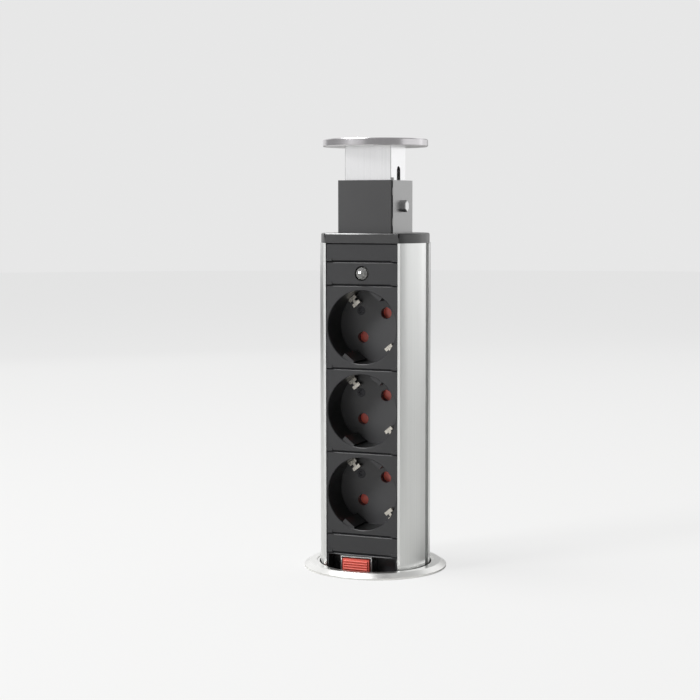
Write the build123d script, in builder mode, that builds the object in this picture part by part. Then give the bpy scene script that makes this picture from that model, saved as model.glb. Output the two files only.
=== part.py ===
from build123d import *
import os
from math import cos, radians, sin, sqrt

# Pop up desk socket: a round tower of three sockets that slides up through a desk collar.
# Origin: centre of the collar's underside, on the desk top. +Z up, front is -Y, +X to the right.

os.makedirs("parts", exist_ok=True)

# Driving dimensions, in millimetres
recess_diameter = 39.6
recess_depth = 19.0
recess_rim = 0.5
module_margin = 5.4
pin_spacing = 19.0
socket_count = 3
side_margin = 9.7
front_step = 10.0
lip_step = 0.4
profile_wall = 1.8
tower_clearance = 0.8
collar_flange = 8.2
collar_thickness = 3.0
neck_length = 50.0
lid_margin = 1.6
lid_thickness = 4.0
lid_lift = 18.0
sleeve_height = 28.2

# The recess sets the module, the module sets the tower
panel_width = recess_diameter + 2 * recess_rim
socket_pitch = recess_diameter + module_margin
tower_radius = panel_width / 2 + side_margin
panel_setback = tower_radius - front_step
lip_setback = panel_setback + lip_step
hole_radius = tower_radius + tower_clearance
collar_radius = hole_radius + collar_flange
lid_radius = tower_radius - lid_margin

# Shared clearances
running_gap = 0.3
seam_gap = 0.3
slip_gap = 0.1
cut_over = 5.0

# Heights of the stack, from the latch module up
latch_module_bottom = -4.0
latch_module_height = 13.5
bottom_blank_height = 10.5
indicator_height = 12.6
top_blank_height = 9.8
cap_thickness = 5.2

bottom_blank_z = latch_module_bottom + latch_module_height
first_socket_z = bottom_blank_z + bottom_blank_height
indicator_z = first_socket_z + socket_count * socket_pitch
top_blank_z = indicator_z + indicator_height
cap_z = top_blank_z + top_blank_height
sleeve_z = cap_z + cap_thickness
sleeve_top = sleeve_z + sleeve_height
lid_z = sleeve_top + lid_lift

# socket_1 is the top one
socket_centres = [
    first_socket_z + (socket_count - 1 - index) * socket_pitch + socket_pitch / 2
    for index in range(socket_count)
]

# Travel of the lid on its bracket, and of the tower until the lid is flush with the collar
corner_nub_height = 1.4
lid_travel = lid_lift - corner_nub_height - running_gap
tower_travel = lid_z + lid_thickness - lid_travel - collar_thickness

# Tower foot
foot_overlap = 8.0
stop_ring_height = 4.0
end_plug_thickness = 2.5
foot_z = -neck_length - foot_overlap
cover_bottom_z = foot_z + stop_ring_height
inner_radius = tower_radius - profile_wall

# Screw ports in the profile
port_radius = 2.6
port_bore = 1.35
port_inset = 4.2
port_circle = tower_radius - port_inset
port_angles = (-16, 196, 60, 120)
port_places = [
    (port_circle * cos(radians(angle)), port_circle * sin(radians(angle)))
    for angle in port_angles
]


def front(y):
    """A plane that faces the front, -Y, and stands at the given y."""
    return Plane.XZ.offset(-y)


def level(z):
    """A horizontal plane at the given height."""
    return Plane.XY.offset(z)


def save(piece, name):
    """Labels a finished piece and writes its STEP file."""
    piece.part.label = name
    export_step(piece.part, f"parts/{name}.step")


def bar(x_range, y_range, z_range, mode=Mode.ADD):
    """A block between the given limits on each axis."""
    middle = [(low + high) / 2 for low, high in (x_range, y_range, z_range)]
    with Locations(tuple(middle)):
        Box(
            x_range[1] - x_range[0],
            y_range[1] - y_range[0],
            z_range[1] - z_range[0],
            mode=mode,
        )


def ring_profile(points):
    """Turns an outline of (radius, height) points about the tower's axis."""
    with BuildSketch(Plane.XZ) as outline:
        with BuildLine():
            Polyline(*points, close=True)
        make_face()
    revolve(outline.sketch, axis=Axis.Z)


# Screws: each function makes one screw with its head's top at the origin, pointing down -Z
sink_angle = 90
cross_width_share = 0.22
cross_length_share = 1.25
cross_depth_share = 0.5


def cross_cut(head_radius, head_height):
    width = head_radius * cross_width_share * 2
    length = head_radius * cross_length_share
    depth = head_height * cross_depth_share
    for size in ((length, width), (width, length)):
        with BuildSketch(level(-depth)) as slot:
            Rectangle(*size)
        extrude(slot.sketch, amount=depth + cut_over, mode=Mode.SUBTRACT)


def countersunk_screw(head_radius, head_height, shank_radius, length):
    with BuildPart() as screw:
        with BuildSketch(Plane.XZ):
            with BuildLine():
                Polyline(
                    (0, 0),
                    (head_radius, 0),
                    (shank_radius, -head_height),
                    (shank_radius, -length),
                    (0, -length),
                    close=True,
                )
            make_face()
        revolve(axis=Axis.Z)
        cross_cut(head_radius, head_height)
    return screw.part


def pan_screw(head_radius, head_height, shank_radius, length):
    with BuildPart() as screw:
        with BuildSketch(level(-head_height)):
            Circle(head_radius)
        extrude(amount=head_height)
        fillet(
            screw.edges().filter_by(GeomType.CIRCLE).sort_by(Axis.Z)[-1],
            head_height * cross_depth_share,
        )
        with BuildSketch(level(-head_height)):
            Circle(shank_radius)
        extrude(amount=head_height - length)
        cross_cut(head_radius, head_height)
    return screw.part


def facing(x, y, z, direction):
    """The place of a screw whose head looks in the given direction."""
    side = (1, 0, 0) if direction[0] == 0 else (0, 1, 0)
    return Plane(origin=(x, y, z), x_dir=side, z_dir=direction).location


# Collar: the ring that shows on the desk top
collar_bevel = 3.2
collar_edge = 1.0
hole_step_width = 1.4
hole_step_depth = 0.5
gasket_inset = 4.2
gasket_width = 2.4
gasket_inner = hole_radius + gasket_inset
gasket_outer = gasket_inner + gasket_width
gasket_height = 1.0
neck_flange_width = 3.2
neck_flange_radius = hole_radius + neck_flange_width
neck_flange_height = 1.2

with BuildPart() as collar_ring:
    ring_profile(
        [
            (hole_radius, neck_flange_height),
            (neck_flange_radius, neck_flange_height),
            (neck_flange_radius, 0),
            (gasket_inner, 0),
            (gasket_inner, gasket_height),
            (gasket_outer, gasket_height),
            (gasket_outer, 0),
            (collar_radius, 0),
            (collar_radius, collar_edge),
            (collar_radius - collar_bevel, collar_thickness),
            (hole_radius + hole_step_width, collar_thickness),
            (hole_radius + hole_step_width, collar_thickness - hole_step_depth),
            (hole_radius, collar_thickness - hole_step_depth),
        ]
    )
save(collar_ring, "collar_ring")

with BuildPart() as desk_gasket:
    with BuildSketch():
        Circle(gasket_outer)
        Circle(gasket_inner, mode=Mode.SUBTRACT)
    extrude(amount=gasket_height)
save(desk_gasket, "desk_gasket")

# Collar: the threaded neck that passes through the desk
neck_wall = 1.6
thread_height = 0.6
thread_pitch = 3.0
thread_start = 6.0
neck_root = hole_radius + neck_wall
neck_crest = neck_root + thread_height
thread_turns = int((neck_length - thread_start) / thread_pitch) - 1

key_width = 3.8
key_height = 9.0
groove_width = 4.5
groove_depth = 2.2
key_margin = 3.8
key_bottom = -neck_length + key_margin
key_top = key_bottom + key_height
key_inner = tower_radius - groove_depth + running_gap
key_outer = neck_root - slip_gap

pad_top = -10.0
pad_height_share = 0.32
pad_height = neck_length * pad_height_share
pad_angle = 24
pad_angles = (90, 210, 330)
pad_inner = tower_radius + running_gap
pad_outer = hole_radius + neck_wall / 2


def pad_blocks(mode=Mode.ADD):
    """The three friction pads, or the room for them in the neck."""
    with BuildSketch(level(pad_top - pad_height)) as plan:
        for angle in pad_angles:
            start = angle - pad_angle / 2
            with BuildLine():
                outer_arc = CenterArc((0, 0), pad_outer, start, pad_angle)
                inner_arc = CenterArc((0, 0), pad_inner, start, pad_angle)
                Line(outer_arc @ 0, inner_arc @ 0)
                Line(outer_arc @ 1, inner_arc @ 1)
            make_face()
    extrude(plan.sketch, amount=pad_height, mode=mode)


thread_outline = [
    (hole_radius, neck_flange_height),
    (neck_flange_radius, neck_flange_height),
    (neck_flange_radius, 0),
    (neck_root, 0),
]
for turn in range(thread_turns):
    turn_z = -thread_start / 2 - turn * thread_pitch
    thread_outline += [
        (neck_root, turn_z),
        (neck_crest, turn_z - thread_height),
        (neck_crest, turn_z - 2 * thread_height),
        (neck_root, turn_z - 3 * thread_height),
    ]
thread_outline += [(neck_root, -neck_length), (hole_radius, -neck_length)]

with BuildPart() as collar_neck:
    ring_profile(thread_outline)
    for side in (-1, 1):
        inner_x, outer_x = side * (key_inner - cut_over), side * (neck_crest + cut_over)
        bar(
            (min(inner_x, outer_x), max(inner_x, outer_x)),
            (-key_width / 2, key_width / 2),
            (key_bottom, key_top),
            mode=Mode.SUBTRACT,
        )
    pad_blocks(mode=Mode.SUBTRACT)
save(collar_neck, "collar_neck")

with BuildPart() as guide_keys:
    for side in (-1, 1):
        bar(
            (min(side * key_inner, side * key_outer), max(side * key_inner, side * key_outer)),
            (-key_width / 2, key_width / 2),
            (key_bottom, key_top),
        )
save(guide_keys, "guide_keys")

with BuildPart() as friction_pads:
    pad_blocks()
save(friction_pads, "friction_pads")

# Clamp nut and washer under the desk
nut_width = 11.2
nut_radius = hole_radius + nut_width
nut_height = 12.0
nut_bore = neck_crest + running_gap
nut_bevel = 1.2
grip_count = 10
grip_radius = 3.4
desk_at_rest_share = 0.5
desk_at_rest = neck_length * desk_at_rest_share
washer_height = 1.5
washer_margin = 2.0
washer_radius = nut_radius + washer_margin

with BuildPart() as clamp_washer:
    with BuildSketch(level(-desk_at_rest - washer_height)):
        Circle(washer_radius)
        Circle(nut_bore, mode=Mode.SUBTRACT)
    extrude(amount=washer_height)
save(clamp_washer, "clamp_washer")

with BuildPart() as clamp_nut:
    with BuildSketch(level(-desk_at_rest - washer_height - nut_height)):
        Circle(nut_radius)
        Circle(nut_bore, mode=Mode.SUBTRACT)
        with PolarLocations(nut_radius + grip_radius / 2, grip_count):
            Circle(grip_radius, mode=Mode.SUBTRACT)
    extrude(amount=nut_height)
    chamfer(clamp_nut.edges().group_by(Axis.Z)[0], nut_bevel / 2)
save(clamp_nut, "clamp_nut")

# Tower profile: the aluminium extrusion
lip_inner = panel_width / 2 + running_gap
groove_wall = 1.6
rib_gap = 0.3
hook_step = 4.5
hook_back = panel_setback - hook_step
rib_thickness = 1.2
rib_inset = 1.7
rib_inner = panel_width / 2 + rib_inset

with BuildPart() as tower_profile:
    with BuildSketch(level(foot_z)):
        Circle(tower_radius)
        Circle(inner_radius, mode=Mode.SUBTRACT)
        for side in (-1, 1):
            groove_back = tower_radius - groove_depth - groove_wall
            with Locations((side * (groove_back + inner_radius) / 2, 0)):
                Rectangle(
                    inner_radius - groove_back + profile_wall,
                    groove_width + 2 * groove_wall,
                )
            with Locations((side * (tower_radius - groove_depth / 2 + cut_over / 2), 0)):
                Rectangle(groove_depth + cut_over, groove_width, mode=Mode.SUBTRACT)
            rib_y = -hook_back + rib_gap + rib_thickness / 2
            rib_end = sqrt(inner_radius**2 - rib_y**2) + profile_wall / 2
            with Locations((side * (rib_inner + rib_end) / 2, rib_y)):
                Rectangle(rib_end - rib_inner, rib_thickness)
        with Locations(*port_places):
            Circle(port_radius)
        with Locations(*port_places):
            Circle(port_bore, mode=Mode.SUBTRACT)
        with Locations((0, -lip_setback - tower_radius)):
            Rectangle(2 * tower_radius, 2 * tower_radius, mode=Mode.SUBTRACT)
        with Locations((0, -tower_radius)):
            Rectangle(2 * lip_inner, 2 * (tower_radius - hook_back), mode=Mode.SUBTRACT)
    extrude(amount=cap_z - foot_z)
save(tower_profile, "tower_profile")

# Stop ring: a split ring on the foot that meets the neck when the tower is fully up
stop_ring_outer = neck_crest - running_gap
stop_ring_z = -neck_length - running_gap - stop_ring_height

with BuildPart() as stop_ring:
    with BuildSketch(level(stop_ring_z)):
        Circle(stop_ring_outer)
        Circle(tower_radius + slip_gap / 2, mode=Mode.SUBTRACT)
        with Locations((0, -lip_setback - tower_radius)):
            Rectangle(2 * lip_inner, 2 * tower_radius, mode=Mode.SUBTRACT)
    extrude(amount=stop_ring_height)
save(stop_ring, "stop_ring")

# Front modules: a face plate between the lips and a wider back that hooks behind them
plate_thickness = 1.4
hook_front = panel_setback - plate_thickness
edge_bevel = 0.6
tab_width = 3.2
tab_height = 1.7
tab_rise = 0.3


def hook_half_width(setback):
    return sqrt(inner_radius**2 - setback**2) - running_gap


def module_front(bottom, height, tabs=True):
    """The face plate, hooks and corner tabs of one front module."""
    low, high = bottom + seam_gap / 2, bottom + height - seam_gap / 2
    half = panel_width / 2
    bar((-half, half), (-panel_setback, -hook_back), (low, high))
    faces_edge = edges().filter_by(Axis.X).group_by(Axis.Y)[0]
    chamfer(faces_edge, edge_bevel)
    with BuildSketch(level(low)) as hooks:
        with BuildLine():
            Polyline(
                (-hook_half_width(hook_front), -hook_front),
                (hook_half_width(hook_front), -hook_front),
                (hook_half_width(hook_back), -hook_back),
                (-hook_half_width(hook_back), -hook_back),
                close=True,
            )
        make_face()
    extrude(hooks.sketch, amount=high - low)
    if tabs:
        for side in (-1, 1):
            inner, outer = side * (half - tab_width), side * half
            bar(
                (min(inner, outer), max(inner, outer)),
                (-panel_setback - tab_rise, -panel_setback + edge_bevel),
                (low, low + tab_height),
            )


with BuildPart() as top_blank_panel:
    module_front(top_blank_z, top_blank_height)
save(top_blank_panel, "top_blank_panel")

with BuildPart() as bottom_blank_panel:
    module_front(bottom_blank_z, bottom_blank_height)
save(bottom_blank_panel, "bottom_blank_panel")

with BuildPart() as lower_cover_panel:
    module_front(cover_bottom_z, latch_module_bottom - cover_bottom_z, tabs=False)
save(lower_cover_panel, "lower_cover_panel")

# Indicator: panel, lens, lamp and board
lens_radius = 3.2
lens_dome = 1.6
lens_hole = 4.0
lens_flange = 1.0
holder_wall = 1.2
holder_length = 5.0
post_radius = 1.8
post_reach = 9.0
board_width = 24.0
board_height = 9.0
lamp_room = 4.5
board_thickness = 1.2
lamp_radius = 2.2
lamp_gap = 0.3
indicator_centre = indicator_z + indicator_height / 2
board_front = -hook_back + holder_length + lamp_room

with BuildPart() as indicator_panel:
    module_front(indicator_z, indicator_height)
    with BuildSketch(front(-hook_back + holder_length)):
        with Locations((0, indicator_centre)):
            Circle(lens_hole + holder_wall)
    extrude(amount=holder_length)
    with BuildSketch(front(board_front)):
        with Locations((-post_reach, indicator_centre), (post_reach, indicator_centre)):
            Circle(post_radius)
    extrude(amount=board_front + hook_back)
    with BuildSketch(front(board_front)):
        with Locations((0, indicator_centre)):
            Circle(lens_hole)
    extrude(amount=board_front + panel_setback + cut_over, mode=Mode.SUBTRACT)
save(indicator_panel, "indicator_panel")

lens_back = -hook_back + lens_flange
lens_axis = Axis((0, 0, indicator_centre), (0, 1, 0))
with BuildPart() as indicator_lens:
    with BuildSketch(Plane.YZ):
        with BuildLine():
            dome_curve = (lens_radius**2 + lens_dome**2) / (2 * lens_dome)
            dome_depth = dome_curve - sqrt(dome_curve**2 - (lens_radius / 2) ** 2)
            shoulder = (-panel_setback, indicator_centre + lens_radius)
            tip = (-panel_setback - lens_dome, indicator_centre)
            middle = (
                -panel_setback - lens_dome + dome_depth,
                indicator_centre + lens_radius / 2,
            )
            ThreePointArc(tip, middle, shoulder)
            Polyline(
                shoulder,
                (lens_back - lens_flange, indicator_centre + lens_radius),
                (lens_back - lens_flange, indicator_centre + lens_hole - slip_gap),
                (lens_back, indicator_centre + lens_hole - slip_gap),
                (lens_back, indicator_centre),
                tip,
            )
        make_face()
    revolve(axis=lens_axis)
save(indicator_lens, "indicator_lens")

with BuildPart() as indicator_lamp:
    lamp_length = board_front - lens_back - lamp_gap
    with BuildSketch(front(board_front)):
        with Locations((0, indicator_centre)):
            Circle(lamp_radius)
    extrude(amount=lamp_length)
    lamp_tip = indicator_lamp.edges().filter_by(GeomType.CIRCLE).sort_by(Axis.Y)[0]
    fillet(lamp_tip, lamp_radius / 2)
save(indicator_lamp, "indicator_lamp")

with BuildPart() as indicator_board:
    with BuildSketch(front(board_front + board_thickness)):
        with Locations((0, indicator_centre)):
            Rectangle(board_width, board_height)
    extrude(amount=board_thickness)
save(indicator_board, "indicator_board")

# Sockets: housing with the round recess, and the contact carrier behind it
recess_radius = recess_diameter / 2
cup_wall = 1.4
rim_bevel = 0.3
floor_front = -panel_setback + recess_depth
floor_thickness = 1.2
floor_back = floor_front + floor_thickness
pin_hole_radius = 3.1
pin_collar_wall = 1.0
pin_collar_length = 2.8
pin_reach = pin_spacing / 2 * cos(radians(45))
pin_places = ((pin_reach, pin_reach), (-pin_reach, -pin_reach))
back_inset = 1.8
back_gap = 2.0
back_width = recess_diameter - 2 * back_inset
back_height = socket_pitch - back_gap
back_rim = 1.2
shutter_chamber = 1.8
carrier_front = floor_back + pin_collar_length + shutter_chamber
carrier_depth = 10.2
carrier_back = carrier_front + carrier_depth
screw_reach = 11.0
screw_place = (-screw_reach * cos(radians(45)), screw_reach * sin(radians(45)))
floor_screw_head = 2.4
floor_screw_shank = 1.25
floor_screw_length = 12.0
boss_radius = 2.0
boss_spare = 2.8
boss_length = carrier_front - floor_back + boss_spare
guide_width = 6.9
guide_inset = 2.5
guide_offset = 4.3
guide_reach = recess_radius - guide_inset
guide_length = recess_depth - 1.5 * rim_bevel
guide_angles = (52, 232)

# Earth clip: a strip that rises from the floor, turns inwards and folds back
clip_width = 4.8
clip_thickness = 0.8
clip_inset = 0.7
clip_span = 4.6
clip_depth = 3.2
clip_fold = 2.4
clip_notch = 1.6
clip_web = 1.5
clip_angles = (129, 309)
clip_reach = recess_radius - clip_inset
clip_tip_reach = clip_reach - clip_span
clip_tip = floor_front - clip_depth
bridge_y = carrier_back + clip_thickness / 2

# Contact tubes and current bars
contact_bore = 2.2
contact_radius = 3.0
contact_inset = 1.0
contact_front = carrier_front + contact_inset
contact_length = 7.0
contact_split = 0.9
contact_back = contact_front + contact_length
bar_width = 5.0
bar_thickness = 1.2
bar_slack = 0.2


def diagonal_plane(angle):
    """The plane through the socket's axis at an angle: local x outwards, local y to the back."""
    outwards = (cos(radians(angle)), 0, sin(radians(angle)))
    side = (-sin(radians(angle)), 0, cos(radians(angle)))
    return Plane(origin=(0, 0, 0), x_dir=outwards, z_dir=side)


def on_diagonal(angle, reach, offset=0):
    turn = radians(angle)
    return (reach * cos(turn) - offset * sin(turn), reach * sin(turn) + offset * cos(turn))


def clip_slots(y_back, depth, slack):
    """Cuts the two slots through which an earth clip's legs pass."""
    for angle in clip_angles:
        with BuildSketch(front(y_back)) as slot:
            with Locations(on_diagonal(angle, clip_reach)):
                Rectangle(clip_thickness + 2 * slack, clip_width + 2 * slack, rotation=angle)
        extrude(slot.sketch, amount=depth, mode=Mode.SUBTRACT)


def save_for_sockets(piece, name):
    """Saves one copy of a piece, modelled about the origin, for each socket."""
    for number, centre_z in enumerate(socket_centres, start=1):
        with BuildPart() as placed:
            with Locations((0, 0, centre_z)):
                add(piece.part)
        save(placed, f"{name}_{number}")


floor_screw = countersunk_screw(
    floor_screw_head, floor_screw_head - floor_screw_shank, floor_screw_shank, floor_screw_length
)

with BuildPart() as socket_housing:
    module_front(-socket_pitch / 2, socket_pitch)
    with BuildSketch(front(floor_back)):
        Circle(recess_radius + cup_wall)
    extrude(amount=floor_back + hook_back)
    with BuildSketch(front(floor_back)):
        Rectangle(back_width, back_height)
    extrude(amount=floor_thickness)
    with BuildSketch(front(carrier_front)):
        Rectangle(back_width, back_height)
        Rectangle(back_width - 2 * back_rim, back_height - 2 * back_rim, mode=Mode.SUBTRACT)
    extrude(amount=carrier_front - floor_back)
    with BuildSketch(front(floor_back + boss_length)):
        Circle(boss_radius)
    extrude(amount=boss_length)
    with BuildSketch(front(floor_back + pin_collar_length)):
        with Locations(*pin_places):
            Circle(pin_hole_radius + pin_collar_wall)
    extrude(amount=pin_collar_length)
    with BuildSketch(front(floor_front)):
        Circle(recess_radius)
        for angle in guide_angles:
            with Locations(on_diagonal(angle, guide_reach + guide_width, guide_offset)):
                Rectangle(2 * guide_width, guide_width, rotation=angle, mode=Mode.SUBTRACT)
    extrude(amount=guide_length, mode=Mode.SUBTRACT)
    with BuildSketch(front(floor_front - guide_length)):
        Circle(recess_radius)
    extrude(amount=panel_setback, mode=Mode.SUBTRACT)
    with BuildSketch(front(-panel_setback - rim_bevel)):
        Circle(recess_radius + 2 * rim_bevel)
    extrude(amount=-3 * rim_bevel, taper=45, mode=Mode.SUBTRACT)
    with BuildSketch(front(floor_back + pin_collar_length)):
        with Locations(*pin_places):
            Circle(pin_hole_radius)
    extrude(amount=floor_thickness + pin_collar_length, mode=Mode.SUBTRACT)
    with Locations(facing(screw_place[0], floor_front, screw_place[1], (0, -1, 0))):
        CounterSinkHole(
            floor_screw_shank + slip_gap, floor_screw_head + slip_gap, cut_over, sink_angle
        )
    clip_slots(floor_back, floor_thickness, slip_gap)
save_for_sockets(socket_housing, "socket")

with BuildPart() as contact_carrier:
    with BuildSketch(front(carrier_back)):
        Rectangle(back_width, back_height)
    extrude(amount=carrier_depth)
    with BuildSketch(front(contact_back)):
        with Locations(*pin_places):
            Circle(contact_radius + bar_slack)
    extrude(amount=contact_back - carrier_front, mode=Mode.SUBTRACT)
    for side in (-1, 1):
        bar(
            (
                side * pin_reach - bar_width / 2 - bar_slack,
                side * pin_reach + bar_width / 2 + bar_slack,
            ),
            (contact_back, carrier_back + cut_over),
            (-socket_pitch, socket_pitch),
            mode=Mode.SUBTRACT,
        )
    pocket_end = floor_back + boss_length + running_gap
    with BuildSketch(front(pocket_end)):
        Circle(pin_spacing / 2 - contact_radius - holder_wall)
    extrude(amount=pocket_end - carrier_front, mode=Mode.SUBTRACT)
    screw_end = floor_front + floor_screw_length
    with BuildSketch(front(screw_end)):
        with Locations(screw_place):
            Circle(floor_screw_shank)
    extrude(amount=screw_end - carrier_front, mode=Mode.SUBTRACT)
    clip_slots(carrier_back, carrier_depth, bar_slack)
save_for_sockets(contact_carrier, "contact_carrier")

with BuildPart() as earth_clip:
    for angle in clip_angles:
        with BuildSketch(diagonal_plane(angle)):
            with BuildLine():
                Polyline(
                    (0, bridge_y),
                    (clip_reach, bridge_y),
                    (clip_reach, clip_tip),
                    (clip_tip_reach, clip_tip),
                    (clip_tip_reach, clip_tip + clip_fold),
                )
            trace(line_width=clip_thickness)
        extrude(amount=clip_width / 2, both=True)
    for angle in clip_angles:
        with BuildSketch(front(clip_tip + clip_thickness)):
            with Locations(on_diagonal(angle, clip_reach - clip_span / 2)):
                Rectangle(clip_notch, 2 * clip_width, rotation=angle)
                Rectangle(2 * clip_notch, clip_web, rotation=angle, mode=Mode.SUBTRACT)
        extrude(amount=2 * clip_thickness, mode=Mode.SUBTRACT)
save_for_sockets(earth_clip, "earth_clip")

with BuildPart() as floor_screws:
    for centre_z in socket_centres:
        with Locations(
            facing(screw_place[0], floor_front, centre_z + screw_place[1], (0, -1, 0))
        ):
            add(floor_screw)
save(floor_screws, "floor_screws")

# Shutters: a two-armed plate that turns on the boss behind the floor
hub_radius = 4.2
paddle_radius = 3.7
arm_width = 4.6
shutter_thickness = shutter_chamber - 2 * running_gap
shutter_back = carrier_front - running_gap

with BuildPart() as shutter:
    with BuildSketch(front(shutter_back)):
        Circle(hub_radius)
        Rectangle(pin_spacing, arm_width, rotation=45)
        with Locations(*pin_places):
            Circle(paddle_radius)
        Circle(boss_radius + running_gap, mode=Mode.SUBTRACT)
    extrude(amount=shutter_thickness)
save_for_sockets(shutter, "shutter")

# Shutter springs: small coils on the bosses, in the carriers' pockets
spring_wire = 0.5
spring_turns = 3
spring_radius = boss_radius + slip_gap + spring_wire
spring_pitch = 0.8


def coil(origin, radius, pitch, turns, wire):
    """A coil spring whose axis runs along +Y from the given origin."""
    base = Plane(origin=origin, x_dir=(1, 0, 0), z_dir=(0, 1, 0))
    path = base.location * Helix(pitch=pitch, height=pitch * turns, radius=radius)
    start = path @ 0
    with BuildPart() as spring:
        with BuildSketch(Plane(origin=start, z_dir=path % 0)):
            Circle(wire / 2)
        sweep(path=path, is_frenet=True)
    return spring.part


shutter_coil = coil(
    (0, carrier_front + spring_wire, 0), spring_radius, spring_pitch, spring_turns, spring_wire
)
with BuildPart() as shutter_springs:
    with Locations(*((0, 0, centre_z) for centre_z in socket_centres)):
        add(shutter_coil)
save(shutter_springs, "shutter_springs")

# Line and neutral contacts, one split tube behind each pin hole
for side, name in ((1, "line_contacts"), (-1, "neutral_contacts")):
    with BuildPart() as contacts:
        with BuildSketch(front(contact_back)):
            with Locations(*((side * pin_reach, z + side * pin_reach) for z in socket_centres)):
                Circle(contact_radius)
                Circle(contact_bore, mode=Mode.SUBTRACT)
                Rectangle(contact_split, 2 * contact_radius + slip_gap, mode=Mode.SUBTRACT)
        extrude(amount=contact_length)
        with BuildSketch(front(contact_back)):
            with Locations(*((side * pin_reach, z + side * pin_reach) for z in socket_centres)):
                Circle(contact_radius)
        extrude(amount=bar_thickness)
    save(contacts, name)

# Current bars down the back of the carriers to the terminal block
block_rise = 14.0
block_height = 18.0
block_bottom = foot_z + block_rise
block_top = block_bottom + block_height
block_half_width = 13.0
block_front = 6.0
bar_margin = 4.0
bar_end = block_bottom + bar_margin

for side, name in ((1, "line_bar"), (-1, "neutral_bar")):
    top = socket_centres[0] + side * pin_reach + contact_radius
    with BuildPart() as current_bar:
        bar(
            (side * pin_reach - bar_width / 2, side * pin_reach + bar_width / 2),
            (contact_back, contact_back + bar_thickness),
            (bar_end, top),
        )
    save(current_bar, name)

earth_bar_front = carrier_back + clip_thickness
with BuildPart() as earth_bar:
    bar(
        (-bar_width / 2, bar_width / 2),
        (earth_bar_front, earth_bar_front + bar_thickness),
        (bar_end, socket_centres[0] + bar_width),
    )
save(earth_bar, "earth_bar")

# Wiring cover: a channel that closes the bars off from the metal profile
cover_thickness = 1.2
cover_back = earth_bar_front + bar_thickness + running_gap + cover_thickness
cover_half_width = back_width / 2 - running_gap

with BuildPart() as wiring_cover:
    with BuildSketch(level(first_socket_z)):
        with Locations((0, (carrier_back + cover_back) / 2)):
            Rectangle(2 * cover_half_width, cover_back - carrier_back)
        with Locations((0, (carrier_back + cover_back) / 2 - cover_thickness)):
            Rectangle(
                2 * (cover_half_width - cover_thickness),
                cover_back - carrier_back,
                mode=Mode.SUBTRACT,
            )
    extrude(amount=indicator_z - first_socket_z)
save(wiring_cover, "wiring_cover")

# Terminal block at the foot, with a slot for each bar and a screw on each
terminal_head = 2.6
terminal_head_height = 1.6
terminal_shank = 1.5
terminal_drop = 7.0
terminal_z = block_top - terminal_drop
block_back = cover_back

with BuildPart() as terminal_block:
    bar(
        (-block_half_width, block_half_width),
        (block_front, block_back),
        (block_bottom, block_top),
    )
    for centre_x, y_near in (
        (-pin_reach, contact_back),
        (pin_reach, contact_back),
        (0, earth_bar_front),
    ):
        bar(
            (centre_x - bar_width / 2 - bar_slack, centre_x + bar_width / 2 + bar_slack),
            (y_near, y_near + bar_thickness + bar_slack),
            (bar_end - bar_slack, block_top + cut_over),
            mode=Mode.SUBTRACT,
        )
        with BuildSketch(front(y_near)):
            with Locations((centre_x, terminal_z)):
                Circle(terminal_shank + slip_gap)
        extrude(amount=y_near - block_front + cut_over, mode=Mode.SUBTRACT)
save(terminal_block, "terminal_block")

terminal_screw_lengths = (
    (-pin_reach, contact_back),
    (0, earth_bar_front),
    (pin_reach, contact_back),
)
terminal_screw_parts = [
    pan_screw(
        terminal_head,
        terminal_head_height,
        terminal_shank,
        terminal_head_height + y_near - block_front - slip_gap,
    )
    for centre_x, y_near in terminal_screw_lengths
]
with BuildPart() as terminal_screws:
    for (centre_x, y_near), screw_part in zip(terminal_screw_lengths, terminal_screw_parts):
        with Locations(facing(centre_x, block_front - terminal_head_height, terminal_z, (0, -1, 0))):
            add(screw_part)
save(terminal_screws, "terminal_screws")

# End plug: closes the foot and carries the terminal block and the cable gland
plug_radius = tower_radius - running_gap
plug_spigot = 22.5
plug_spigot_height = stop_ring_height
plug_bottom = foot_z - end_plug_thickness
pedestal_radius = 3.0
pedestal_reach = 10.0
pedestal_setback = 13.5
pedestal_places = ((-pedestal_reach, pedestal_setback), (pedestal_reach, pedestal_setback))
gland_thread = 8.0
foot_screw_head = 2.7
foot_screw_height = 1.5
foot_screw_shank = port_bore - slip_gap
foot_screw_length = 14.0


def flat_front(half_plane, radius=tower_radius):
    """Cuts a round sketch flat at the front."""
    with Locations((0, -half_plane - radius)):
        Rectangle(2 * radius, 2 * radius, mode=Mode.SUBTRACT)


with BuildPart() as end_plug:
    with BuildSketch(level(plug_bottom)):
        Circle(plug_radius)
        flat_front(lip_setback)
    extrude(amount=end_plug_thickness)
    with BuildSketch(level(foot_z)):
        Circle(plug_spigot)
        flat_front(hook_back - rib_gap)
    extrude(amount=plug_spigot_height)
    with BuildSketch(level(foot_z)):
        with Locations(*pedestal_places):
            Circle(pedestal_radius)
    extrude(amount=block_bottom - foot_z)
    with BuildSketch(level(plug_bottom)):
        Circle(gland_thread + slip_gap)
    extrude(amount=neck_length, mode=Mode.SUBTRACT)
    with Locations(*(facing(x, y, plug_bottom, (0, 0, -1)) for x, y in port_places)):
        CounterSinkHole(
            foot_screw_shank + slip_gap, foot_screw_head + slip_gap, cut_over, sink_angle
        )
save(end_plug, "end_plug")

foot_screw = countersunk_screw(
    foot_screw_head, foot_screw_height, foot_screw_shank, foot_screw_length
)
with BuildPart() as end_plug_screws:
    with Locations(*(facing(x, y, plug_bottom, (0, 0, -1)) for x, y in port_places)):
        add(foot_screw)
save(end_plug_screws, "end_plug_screws")

# Cable gland: body, lock nut, seal and dome nut
cable_radius = 4.25
gland_hex = 22.0
gland_hex_height = 4.5
gland_body_drop = 9.0
gland_body_bottom = plug_bottom - gland_body_drop
locknut_height = 3.5
gland_seat = 6.4
dome_length = 9.5
cable_room = 0.75
dome_bore = cable_radius + cable_room
seal_length = 8.0

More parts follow.
